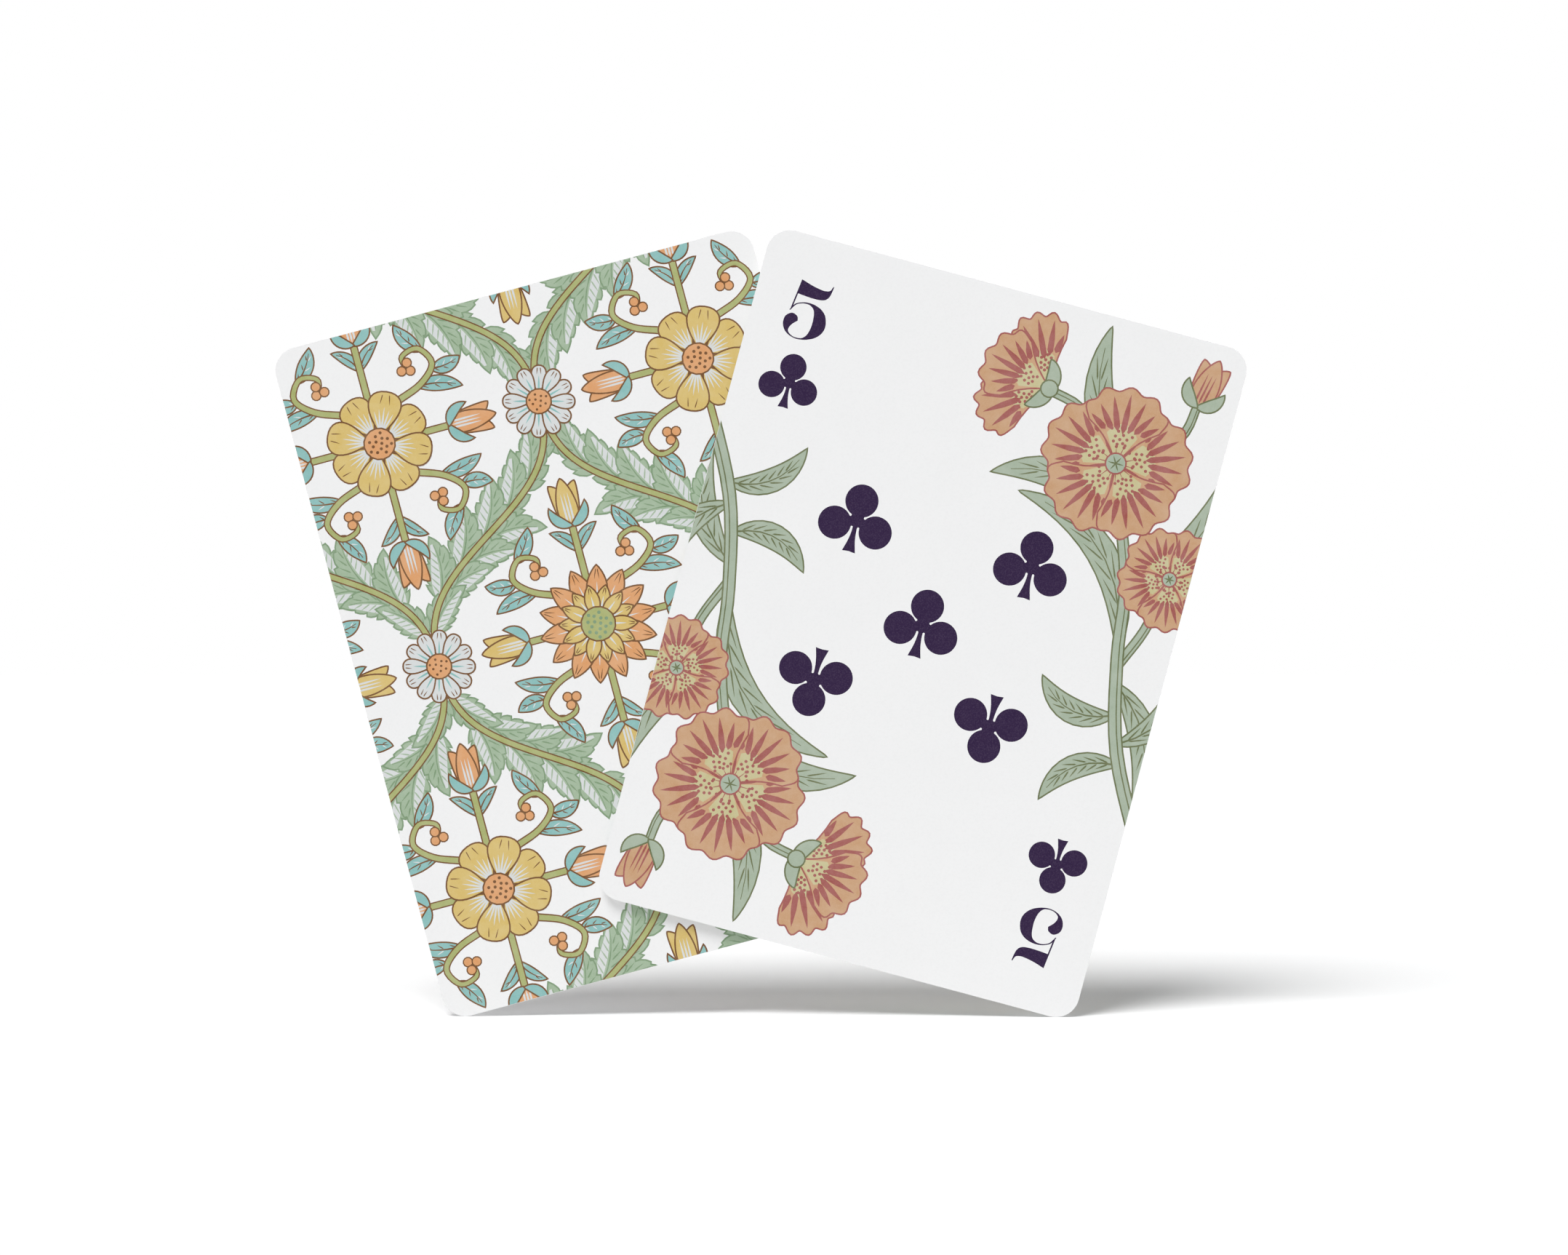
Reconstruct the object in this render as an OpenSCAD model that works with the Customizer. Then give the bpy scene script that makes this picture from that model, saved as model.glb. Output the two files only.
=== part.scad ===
// Two loose playing cards fanned into a V, each standing on its outer lower corner.
// Every card is a laminate: a printed face paper and a printed back paper on an opaque glue core.
// Front view looks along +Y. Origin: middle of the pair, on the surface that the corners stand on.

/* [Card] */
// Width of a card
card_w = 63; // [56:0.5:72]
// Height of a card
card_h = 88; // [80:0.5:100]
// Radius of the die-cut corners
corner_r = 3; // [2:0.1:6]

/* [Stock] */
// Thickness of each printed paper
paper_t = 0.135; // [0.1:0.005:0.2]
// Thickness of the opaque glue core between the two papers
core_t = 0.03; // [0.02:0.005:0.06]

/* [Fan] */
// Lean of each card away from upright, in degrees
lean = 15; // [5:1:25]
// Sideways distance between the middles of the two cards
spread = 41.3; // [30:0.1:50]
// Air between the facing sides of the two cards
air_gap = 0.8; // [0.3:0.05:2]

/* [Hidden] */

// Corner circles are smooth
$fn = 96;

paper_white = "#EFEFEF";
core_black = "#2B2A2C";

// Which way a card leans, seen from the front
leans_right = 1;
leans_left = -1;

card_t = 2 * paper_t + core_t;

// Middles of the corner arcs, from the middle of the card
arc_x = card_w / 2 - corner_r;
arc_y = card_h / 2 - corner_r;

// Height of a card's middle when its outer corner arc touches the surface
stand_z = arc_y * cos(lean) + arc_x * sin(lean) + corner_r;

// Front side of each layer, from the viewer to the rear
front_card_y = -air_gap / 2 - card_t;
rear_card_y = air_gap / 2;
core_offset = paper_t;
second_paper_offset = paper_t + core_t;

// Rectangle with true quarter-circle corners, as the card die cuts it
module card_outline() {
    square([card_w, 2 * arc_y], center = true);
    square([2 * arc_x, card_h], center = true);
    for (sx = [-1, 1]) {
        for (sy = [-1, 1]) {
            translate([sx * arc_x, sy * arc_y])
                circle(r = corner_r);
        }
    }
}

// One layer of a card, standing at its lean, with its front side at front_y
module card_layer(side, front_y, thickness) {
    translate([side * spread / 2, front_y + thickness, stand_z])
        rotate([0, side * lean, 0])
            rotate([90, 0, 0])
                linear_extrude(height = thickness)
                    card_outline();
}

// Paper with the pips, on the front card's near side
module front_card_face_paper() {
    color(paper_white)
        card_layer(leans_right, front_card_y, paper_t);
}

// Opaque glue that keeps the front card from showing through
module front_card_core() {
    color(core_black)
        card_layer(leans_right, front_card_y + core_offset, core_t);
}

// Paper with the pattern, on the front card's far side
module front_card_back_paper() {
    color(paper_white)
        card_layer(leans_right, front_card_y + second_paper_offset, paper_t);
}

// Paper with the pattern, on the rear card's near side
module rear_card_back_paper() {
    color(paper_white)
        card_layer(leans_left, rear_card_y, paper_t);
}

// Opaque glue that keeps the rear card from showing through
module rear_card_core() {
    color(core_black)
        card_layer(leans_left, rear_card_y + core_offset, core_t);
}

// Paper with the pips, on the rear card's far side
module rear_card_face_paper() {
    color(paper_white)
        card_layer(leans_left, rear_card_y + second_paper_offset, paper_t);
}

front_card_face_paper();
front_card_core();
front_card_back_paper();
rear_card_back_paper();
rear_card_core();
rear_card_face_paper();
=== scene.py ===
"""Two fanned playing cards: paper laminates with their printed inks, in a pale studio.

Sizes on a card are millimetres. A point on a printed side is a complex number: the real part runs
to the right of the card's middle and the imaginary part upwards, as seen by someone who reads it.
"""

import cmath
import logging
import math
from collections.abc import Iterator
from dataclasses import dataclass, field
from enum import Enum

import bpy
import numpy as np
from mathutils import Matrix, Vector


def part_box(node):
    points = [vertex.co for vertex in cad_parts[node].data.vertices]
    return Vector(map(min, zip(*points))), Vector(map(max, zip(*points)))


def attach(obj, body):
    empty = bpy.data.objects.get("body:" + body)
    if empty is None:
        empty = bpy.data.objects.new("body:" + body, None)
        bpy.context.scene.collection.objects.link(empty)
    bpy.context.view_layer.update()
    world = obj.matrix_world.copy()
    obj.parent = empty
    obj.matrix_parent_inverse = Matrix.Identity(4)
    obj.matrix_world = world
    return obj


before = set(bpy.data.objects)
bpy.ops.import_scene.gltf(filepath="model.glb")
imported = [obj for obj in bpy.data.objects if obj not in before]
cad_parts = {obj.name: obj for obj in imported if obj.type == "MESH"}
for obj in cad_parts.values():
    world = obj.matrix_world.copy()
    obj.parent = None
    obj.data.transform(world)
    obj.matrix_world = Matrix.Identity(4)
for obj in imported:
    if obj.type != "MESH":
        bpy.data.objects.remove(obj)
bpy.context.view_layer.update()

log = logging.getLogger("cards")

MM = 0.001
BAKE_MAP = "OFBake"

# How far each card leans from upright, as in the CAD model
LEAN_DEG = 15.0

# Print sizes, in millimetres: the drawn lines and the finer ones, one film of ink, how deep the
# films reach into the paper, how far they spread at their foot, and the bare rim that the die leaves
LINE_W = 0.2
FINE_LINE_W = 0.16
FILM_T = 0.0006
FILM_SINK = 0.004
FILM_FLARE = 0.01
BARE_RIM = 0.04

# Points along a margin of a tapered stroke, round a dot and round a card's corner
STROKE_POINTS = 5
DOT_POINTS = 9
CORNER_POINTS = 7

# How far an ink's tone wanders, as a share of the way to the paper's white
PIP_MOTTLE = 0.02
FLOWER_MOTTLE = 0.2

Outline = list[complex]
Span = tuple[float, float]
Direction = tuple[float, float, float]


def linear(hex_colour: str) -> tuple[float, float, float, float]:
    """Turn an sRGB hex colour into linear light.

    Args:
        hex_colour: A hash sign and six hex digits.

    Returns:
        Linear red, green and blue, and an alpha of 1.
    """
    shares = [int(hex_colour[k:k + 2], 16) / 255 for k in (1, 3, 5)]
    red, green, blue = (s / 12.92 if s <= 0.04045 else ((s + 0.055) / 1.055) ** 2.4 for s in shares)
    return red, green, blue, 1.0


def tint(hex_colour: str, towards: str, share: float) -> str:
    """The hex colour a share of the way towards another, or away from it where the share is below 0."""
    pairs = [(int(hex_colour[k:k + 2], 16), int(towards[k:k + 2], 16)) for k in (1, 3, 5)]
    return "#" + "".join(f"{round(a + (b - a) * share):02X}" for a, b in pairs)


def add_node(
    tree: bpy.types.NodeTree,
    kind: str,
    settings: dict[str, object] | None = None,
    inputs: dict[str | int, object] | None = None,
) -> bpy.types.Node:
    """Add a node with its settings, constant inputs and links.

    Args:
        tree: The tree that the node goes into.
        kind: The node's type name.
        settings: Properties of the node.
        inputs: For each input, a constant or the socket that feeds it.

    Returns:
        The new node.
    """
    node = tree.nodes.new(kind)
    for name, value in (settings or {}).items():
        setattr(node, name, value)
    for name, value in (inputs or {}).items():
        if isinstance(value, bpy.types.NodeSocket):
            tree.links.new(value, node.inputs[name])
        else:
            node.inputs[name].default_value = value
    return node


def empty_material(name: str) -> bpy.types.Material:
    """Make a material whose node tree has no nodes yet.

    Args:
        name: The material's name.

    Returns:
        The material.
    """
    material = bpy.data.materials.new(name)
    material.use_nodes = True
    material.node_tree.nodes.clear()
    return material


class Ink(Enum):
    """The press inks, as sRGB colours on the white paper."""

    AUBERGINE = "#312240"
    TERRACOTTA = "#C59E7B"
    BRICK = "#A05C57"
    STRAW = "#C4BC91"
    LEAF_GREEN = "#A5B29F"
    DARK_OLIVE = "#6B7350"
    SAGE = "#A0B49A"
    MOSS = "#7F9878"
    OLIVE = "#A8AE73"
    TEAL = "#8BBAB7"
    APRICOT = "#D89F6E"
    MUSTARD = "#D3B973"
    UMBER = "#75502E"
    PALE_GREY = "#D3D6D6"

    @property
    def slot(self) -> str:
        """The record's material slot for this ink."""
        return f"{self.name.lower()}_ink"

    @property
    def mottle(self) -> float:
        """How far the tone wanders: the dark ink of the club pips is the most even."""
        return PIP_MOTTLE if self is Ink.AUBERGINE else FLOWER_MOTTLE


@dataclass(frozen=True)
class SurfaceGrain:
    """Two scales of unevenness that paper and print share, as sizes in millimetres."""

    cloud_mm: float
    grain_mm: float
    cloud_detail: float = 3.0
    grain_detail: float = 2.0
    raggedness: float = 0.55

    def sockets(self, tree: bpy.types.NodeTree) -> list[bpy.types.NodeSocket]:
        """Add the two noises to a tree.

        Args:
            tree: The material's node tree.

        Returns:
            The share of the broad clouds and that of the fine grain.
        """
        place = add_node(tree, "ShaderNodeTexCoord").outputs["Object"]
        shares = []
        for size, detail in ((self.cloud_mm, self.cloud_detail), (self.grain_mm, self.grain_detail)):
            inputs = {"Vector": place, "Scale": 1 / (size * MM), "Detail": detail}
            inputs["Roughness"] = self.raggedness
            shares.append(add_node(tree, "ShaderNodeTexNoise", inputs=inputs).outputs[0])
        return shares


@dataclass(frozen=True)
class Coating:
    """A coated, printed or cut surface: clouded tones, specks, a range of roughness, a fine tooth."""

    name: str
    tone: str
    light_tone: str
    speck_tone: str
    grain: SurfaceGrain
    roughness: Span
    speck: float
    tooth_mm: float
    gloss: float
    ior: float = 1.5
    # The shares of the grain where specks start to show and are at their strongest
    speck_span: Span = (0.45, 0.75)
    tooth_strength: float = 0.35

    def material(self) -> bpy.types.Material:
        """Build the material, or find it if it was built before.

        Returns:
            The material.
        """
        if found := bpy.data.materials.get(self.name):
            return found
        made = empty_material(self.name)
        tree = made.node_tree
        clouds, grain = self.grain.sockets(tree)
        body = add_node(
            tree,
            "ShaderNodeMix",
            {"data_type": "RGBA"},
            {0: clouds, 6: linear(self.tone), 7: linear(self.light_tone)},
        )
        first, full = self.speck_span
        share = add_node(
            tree,
            "ShaderNodeMapRange",
            inputs={"Value": grain, "From Min": first, "From Max": full, "To Max": self.speck},
        )
        colour = add_node(
            tree,
            "ShaderNodeMix",
            {"data_type": "RGBA"},
            {0: share.outputs["Result"], 6: body.outputs[2], 7: linear(self.speck_tone)},
        )
        low, high = self.roughness
        rough = add_node(
            tree, "ShaderNodeMapRange", inputs={"Value": clouds, "To Min": low, "To Max": high}
        )
        bump = add_node(
            tree,
            "ShaderNodeBump",
            inputs={"Strength": self.tooth_strength, "Distance": self.tooth_mm * MM, "Height": grain},
        )
        shader = add_node(
            tree,
            "ShaderNodeBsdfPrincipled",
            inputs={
                "Base Color": colour.outputs[2],
                "Roughness": rough.outputs["Result"],
                "Normal": bump.outputs["Normal"],
                "IOR": self.ior,
                "Specular IOR Level": self.gloss,
            },
        )
        add_node(tree, "ShaderNodeOutputMaterial", inputs={"Surface": shader.outputs["BSDF"]})
        return made


# Coated card paper, calendered smooth and varnished on the press to a soft satin. To the eye it is
# an even white with little sheen. Its fibres of 0.03 mm are drawn at 0.3 mm so that they show.
CARD_PAPER = Coating(
    name="coated_card_paper_calendered",
    tone="#EBEBEB",
    light_tone="#EEEEEE",
    speck_tone="#E6E6E6",
    grain=SurfaceGrain(cloud_mm=7.0, grain_mm=0.3),
    roughness=(0.45, 0.55),
    speck=0.35,
    tooth_mm=0.004,
    gloss=0.1,
)

# Paper cut by a steel rule die. The cut shows bare matt fibres, a little greyer than the coating.
# Fibres of 0.02 mm are drawn at 0.12 mm so that they show.
CUT_EDGE = Coating(
    name="card_paper_die_cut_edge",
    tone="#E3E2DE",
    light_tone="#ECEBE8",
    speck_tone="#D2D0CA",
    grain=SurfaceGrain(cloud_mm=1.6, grain_mm=0.12),
    roughness=(0.75, 0.9),
    speck=0.8,
    tooth_mm=0.01,
    gloss=0.1,
)

# Black pigmented laminating glue, squeezed between the papers and cut with them. On the cut edge
# it is a thin dark matt line. Its pigment lumps of 0.01 mm are drawn at 0.1 mm so that they show.
CORE_GLUE = Coating(
    name="pigmented_laminating_glue_cut",
    tone="#2B2A2C",
    light_tone="#343236",
    speck_tone="#454348",
    grain=SurfaceGrain(cloud_mm=0.9, grain_mm=0.1),
    roughness=(0.6, 0.75),
    speck=0.6,
    tooth_mm=0.006,
    gloss=0.2,
)


def offset_ink(ink: Ink) -> Coating:
    """Offset ink under the press varnish.

    It lies a little thicker in one place than in another, so its colour is in soft clouds, and the
    paper's white just shows through its grain. Screen dots of 0.1 mm are drawn as grain of 0.15 mm
    so that they show.

    Args:
        ink: The ink.

    Returns:
        Its finish.
    """
    show_through = 0.2
    return Coating(
        name=f"offset_ink_{ink.name.lower()}_varnished",
        tone=tint(ink.value, CARD_PAPER.tone, -ink.mottle),
        light_tone=tint(ink.value, CARD_PAPER.tone, ink.mottle),
        speck_tone=tint(ink.value, CARD_PAPER.tone, show_through),
        grain=SurfaceGrain(cloud_mm=1.6, grain_mm=0.15),
        roughness=(0.45, 0.55),
        speck=0.4,
        tooth_mm=0.003,
        gloss=0.07,
    )


def steps(start: float, end: float, count: int) -> list[float]:
    """Evenly spaced values from start to end, both included."""
    return [start + (end - start) * k / (count - 1) for k in range(count)]


def polar(distance: float, heading_deg: float) -> complex:
    """The step of a distance in a direction, counted anticlockwise from the right."""
    return cmath.rect(distance, math.radians(heading_deg))


def arc(centre: complex, radius: float, start_deg: float, end_deg: float, count: int) -> Outline:
    """Points along an arc, both ends included."""
    return [centre + polar(radius, a) for a in steps(start_deg, end_deg, count)]


def circle(centre: complex, radius: float, count: int = 16) -> Outline:
    """A round outline."""
    return arc(centre, radius, 0, 360, count + 1)[:-1]


def mirrored(point: complex) -> complex:
    """The point on the other side of the upright middle line."""
    return -point.conjugate()


def curve(points: Outline, fineness: int = 5) -> Outline:
    """A smooth line through points.

    Args:
        points: The points that the line passes, in order.
        fineness: Steps from each point to the next.

    Returns:
        Points along the line, its ends included.
    """
    padded = [2 * points[0] - points[1], *points, 2 * points[-1] - points[-2]]
    line = []
    for a, b, c, d in zip(padded, padded[1:], padded[2:], padded[3:]):
        # The weights of a cubic that leaves b and reaches c in the direction of their neighbours
        speed, bow, twist = (c - a) / 2, a - 2.5 * b + 2 * c - d / 2, 1.5 * (b - c) + (d - a) / 2
        for t in steps(0, 1, fineness + 1)[:-1]:
            line.append(b + t * speed + t ** 2 * bow + t ** 3 * twist)
    return [*line, points[-1]]


def ribbon(line: Outline, start_w: float, end_w: float) -> Outline:
    """The outline of a band along a line.

    Args:
        line: The band's middle line.
        start_w: The band's width where the line starts.
        end_w: Its width where the line ends.

    Returns:
        The band's outline.
    """
    last = len(line) - 1
    left, right = [], []
    for k, here in enumerate(line):
        along = line[min(k + 1, last)] - line[max(k - 1, 0)]
        reach = (start_w + (end_w - start_w) * k / last) / 2 * 1j * along / abs(along)
        left.append(here + reach)
        right.append(here - reach)
    return left + right[::-1]


def walk(
    line: Outline, first: float, spacing: float, spare: float
) -> Iterator[tuple[complex, complex]]:
    """Step along a line at equal distances.

    Args:
        line: The line to follow.
        first: Distance from its start to the first stop.
        spacing: Distance from stop to stop.
        spare: Length at its end with no stop.

    Returns:
        Each stop and the line's direction there.
    """
    total = sum(abs(b - a) for a, b in zip(line, line[1:]))
    travelled, due = 0.0, first
    for a, b in zip(line, line[1:]):
        length = abs(b - a)
        while due <= min(travelled + length, total - spare):
            yield a + (b - a) * (due - travelled) / length, (b - a) / length
            due += spacing
        travelled += length


def signed_area(outline: Outline) -> float:
    """The area inside an outline, positive if it runs anticlockwise."""
    return sum((a.conjugate() * b).imag for a, b in zip(outline, outline[1:] + outline[:1])) / 2


def tidied(outline: Outline, least: float = 0.004) -> Outline:
    """An outline without repeated points, running anticlockwise.

    Args:
        outline: The outline to tidy.
        least: The least distance between neighbouring points.

    Returns:
        The tidy outline.
    """
    kept: Outline = []
    for point in outline:
        if not kept or abs(point - kept[-1]) > least:
            kept.append(point)
    while len(kept) > 1 and abs(kept[0] - kept[-1]) <= least:
        kept.pop()
    return kept if signed_area(kept) >= 0 else kept[::-1]


def grown(outline: Outline, amount: float) -> Outline:
    """Move an outline outwards, with mitred corners.

    Args:
        outline: The outline to start from.
        amount: How far each side moves.

    Returns:
        The larger outline.
    """
    sharpest = 0.4
    points = tidied(outline)
    larger = []
    for before, here, after in zip(points[-1:] + points[:-1], points, points[1:] + points[:1]):
        first = -1j * (here - before) / abs(here - before)
        second = -1j * (after - here) / abs(after - here)
        opening = max(1 + (first.conjugate() * second).real, sharpest)
        larger.append(here + amount * (first + second) / opening)
    return larger


def clipped(outline: Outline, window: Outline) -> Outline:
    """The part of an outline that lies in a window.

    Args:
        outline: The outline to cut.
        window: A convex outline that runs anticlockwise.

    Returns:
        The cut outline, empty if nothing of it is left.
    """
    kept = outline
    for a, b in zip(window, window[1:] + window[:1]):
        depths = [((b - a).conjugate() * (p - a)).imag for p in kept]
        if not kept or min(depths) >= 0:
            continue
        passed = []
        for k, here in enumerate(kept):
            before, behind, ahead = kept[k - 1], depths[k - 1], depths[k]
            if (behind < 0) != (ahead < 0):
                passed.append(before + (here - before) * behind / (behind - ahead))
            if ahead >= 0:
                passed.append(here)
        kept = passed
    return kept


@dataclass(frozen=True)
class CardFormat:
    """The trade format that a card is cut to."""

    width: float = 63.0
    height: float = 88.0
    corner_r: float = 3.0

    def outline(self, inset: float) -> Outline:
        """The card's outline, anticlockwise.

        Args:
            inset: How far inwards it is moved.

        Returns:
            The outline.
        """
        x, y = self.width / 2 - self.corner_r, self.height / 2 - self.corner_r
        line = []
        for centre, turn in ((x + y * 1j, 0), (-x + y * 1j, 90), (-x - y * 1j, 180), (x - y * 1j, 270)):
            line += arc(centre, self.corner_r - inset, turn, turn + 90, CORNER_POINTS)
        return line


class Profile(Enum):
    """How a blade's width rises from its base and falls to its tip: the powers of t and of 1 - t."""

    LANCE = (0.8, 0.9)
    OVATE = (0.55, 0.95)
    SPOON = (1.1, 0.45)
    CUP = (0.4, 0.75)
    STROKE = (0.35, 0.9)

    def share(self, t: float) -> float:
        """The share of the full width.

        Args:
            t: How far along, from 0 at the base to 1 at the tip.

        Returns:
            The share, which is 1 where the blade is widest.
        """
        rise, fall = self.value
        widest = rise / (rise + fall)
        return (t / widest) ** rise * ((1 - t) / (1 - widest)) ** fall


@dataclass(frozen=True)
class Blade:
    """A leaf-like form along a bowed spine."""

    base: complex
    tip: complex
    width: float
    profile: Profile
    bend: float = 0.0

    def at(self, t: float, side: float = 0.0) -> complex:
        """A point of the blade.

        Args:
            t: How far along the spine, from 0 at the base to 1 at the tip.
            side: How far from the spine to the margin, positive to the left.

        Returns:
            The point.
        """
        middle = (self.base + self.tip) / 2 + 2j * self.bend * (self.tip - self.base)
        spine = (1 - t) ** 2 * self.base + 2 * t * (1 - t) * middle + t * t * self.tip
        along = (1 - t) * (middle - self.base) + t * (self.tip - middle)
        return spine + side * self.width / 2 * self.profile.share(t) * 1j * along / abs(along)

    def outline(self, count: int = 17) -> Outline:
        """The blade's outline, with more points where it curves most."""
        spots = [(1 - math.cos(math.pi * s)) / 2 for s in steps(0, 1, count)]
        return [self.at(t, 1) for t in spots] + [self.at(t, -1) for t in reversed(spots)]

    def toothed(self, teeth: int, depth: float) -> Outline:
        """The blade's outline with teeth that point to its tip.

        Args:
            teeth: Teeth along each margin.
            depth: How far a tooth cuts in, as a share of the half width.

        Returns:
            The outline.
        """
        along_tooth = (0, 0.35, 0.7, 1)
        edge = [(k + s, 1 - depth * (1 - s) ** 2) for k in range(teeth) for s in along_tooth]
        left = [self.at(k / teeth, out) for k, out in edge]
        return left + [self.at(k / teeth, -out) for k, out in reversed(edge)]


@dataclass(frozen=True)
class Patch:
    """One closed area of ink."""

    ink: Ink
    outline: Outline


@dataclass(frozen=True)
class Placing:
    """Where a copy of a design goes: mirrored or not, turned by a factor, then moved."""

    middle: complex = 0j
    turn: complex = 1 + 0j
    mirror: bool = False

    def of(self, point: complex) -> complex:
        """Where a point of the design goes."""
        return self.middle + self.turn * (point.conjugate() if self.mirror else point)


def quarters(middle: complex) -> list[Placing]:
    """The four mirrored places round a middle."""
    return [Placing(middle, turn, mirror) for turn in (1, -1) for mirror in (False, True)]


@dataclass
class Artwork:
    """Patches of ink in the order they are painted."""

    patches: list[Patch] = field(default_factory=list)

    def fill(self, ink: Ink, outline: Outline) -> None:
        """Paint one patch."""
        self.patches.append(Patch(ink, outline))

    def outlined(self, line: Ink, body: Ink, outline: Outline, line_w: float = LINE_W) -> None:
        """Paint a patch with a line round it."""
        self.fill(line, grown(outline, line_w))
        self.fill(body, outline)

    def stroke(self, ink: Ink, start: complex, end: complex, width: float) -> None:
        """Paint a tapered stroke."""
        self.fill(ink, Blade(start, end, width, Profile.STROKE).outline(STROKE_POINTS))

    def dot(self, ink: Ink, centre: complex, radius: float) -> None:
        """Paint a round dot."""
        self.fill(ink, circle(centre, radius, DOT_POINTS))

    def stamp(self, other: "Artwork", placing: Placing) -> None:
        """Paint a copy of another design."""
        for patch in other.patches:
            self.fill(patch.ink, [placing.of(p) for p in patch.outline])

    def over(self, ground: "Artwork") -> "Artwork":
        """This design painted over another."""
        return Artwork(ground.patches + self.patches)


@dataclass(frozen=True)
class BladePair:
    """Two mirrored blades that part at one foot, such as a pair of sepals."""

    length: float
    width: float
    turn_deg: float
    bend: float
    profile: Profile

    def draw(self, art: Artwork, line: Ink, body: Ink, foot: complex, heading_deg: float) -> None:
        """Paint the pair.

        Args:
            art: The design that it goes into.
            line: The ink of its lines.
            body: The ink that fills it.
            foot: Where the blades part.
            heading_deg: Where the pair points.
        """
        for side in (-1, 1):
            tip = foot + polar(self.length, heading_deg + side * self.turn_deg)
            blade = Blade(foot, tip, self.width, self.profile, side * self.bend)
            art.outlined(line, body, blade.outline())


@dataclass(frozen=True)
class Leaf:
    """A leaf with a midrib, fine veins to both margins, and a pale half and teeth if it has them.

    A span is two shares of the way from base to tip, and a reach is a share of the half width.
    """

    blade: Blade
    line: Ink
    body: Ink
    light: Ink
    veins: int
    vein_w: float = 0.2
    teeth: int = 0
    tooth_depth: float = 0.3
    # 1 for the left half, -1 for the right
    pale_side: int = 0
    pale_span: Span = (0.06, 0.9)
    pale_reach: float = 0.68
    vein_span: Span = (0.1, 0.68)
    vein_reach: float = 0.72
    # How much nearer to the tip a vein ends than it starts
    vein_slant: float = 0.15
    rib_span: Span = (0.02, 0.88)
    rib_w: Span = (0.24, 0.08)
    # What the midrib keeps clear of veins and of the pale half
    rib_reach: float = 0.14

    def draw(self, art: Artwork) -> None:
        """Paint the leaf.

        Args:
            art: The design that it goes into.
        """
        blade, lit = self.blade, self.pale_side or 1
        shape = blade.toothed(self.teeth, self.tooth_depth) if self.teeth else blade.outline()
        art.outlined(self.line, self.body, shape)
        if self.pale_side:
            rise = steps(*self.pale_span, 9)
            inner = [blade.at(t, self.rib_reach * lit) for t in rise]
            art.fill(self.light, inner + [blade.at(t, self.pale_reach * lit) for t in reversed(rise)])
        lit_vein = self.body if self.pale_side else self.light
        for t in steps(*self.vein_span, self.veins):
            for side, ink in ((lit, lit_vein), (-lit, self.line)):
                start = blade.at(t, self.rib_reach * side)
                end = blade.at(t + self.vein_slant, self.vein_reach * side)
                art.stroke(ink, start, end, self.vein_w)
        rib = [blade.at(t) for t in steps(*self.rib_span, 7)]
        art.fill(self.line, ribbon(rib, *self.rib_w))


@dataclass(frozen=True)
class PetalRing:
    """A ring of petals. The odd ones lie over the even ones, so the count is even.

    A span is two shares of the way from a petal's base to its tip.
    """

    count: int
    inner: float
    outer: float
    width: float
    body: Ink
    light: Ink
    profile: Profile
    turn_deg: float = 0.0
    # Light strokes at the base, which are shorter towards the margins
    strokes: tuple[float, ...] = (-0.6, 0.0, 0.6)
    stroke_span: Span = (0.1, 0.66)
    stroke_loss: float = 0.2
    stroke_w: float = 0.26
    # Dark strokes at the tip, which close in towards the base
    ribs: tuple[float, ...] = (-0.35, 0.35)
    rib_span: Span = (0.95, 0.7)
    rib_closing: float = 0.9
    rib_w: float = 0.14

    def draw(self, art: Artwork, centre: complex) -> None:
        """Paint the ring round a middle.

        Args:
            art: The design that it goes into.
            centre: The middle of the flower.
        """
        low, high = self.stroke_span
        outer, inner = self.rib_span
        for k in (*range(0, self.count, 2), *range(1, self.count, 2)):
            way = polar(1, self.turn_deg + 360 * k / self.count)
            base, tip = centre + self.inner * way, centre + self.outer * way
            petal = Blade(base, tip, self.width, self.profile)
            art.outlined(Ink.UMBER, self.body, petal.outline())
            for side in self.strokes:
                end = petal.at(high - self.stroke_loss * abs(side), side)
                art.stroke(self.light, petal.at(low, side), end, self.stroke_w)
            for side in self.ribs:
                end = petal.at(inner, self.rib_closing * side)
                art.stroke(Ink.UMBER, petal.at(outer, side), end, self.rib_w)


@dataclass(frozen=True)
class Bloom:
    """An open flower: rings of petals round a seeded heart."""

    rings: tuple[PetalRing, ...]
    heart_r: float
    heart: Ink
    seeds: Ink
    seed_count: int
    # How far out the seeds go and their radius, as shares of the heart's radius
    seed_spread: float = 0.82
    seed_r: float = 0.11

    def draw(self, art: Artwork, centre: complex) -> None:
        """Paint the flower.

        Args:
            art: The design that it goes into.
            centre: The middle of the flower.
        """
        golden_deg = 137.5
        for ring in self.rings:
            ring.draw(art, centre)
        art.outlined(Ink.UMBER, self.heart, circle(centre, self.heart_r))
        for k in range(self.seed_count):
            out = self.seed_spread * self.heart_r * math.sqrt((k + 0.5) / self.seed_count)
            art.dot(self.seeds, centre + polar(out, golden_deg * k), self.seed_r * self.heart_r)


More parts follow.
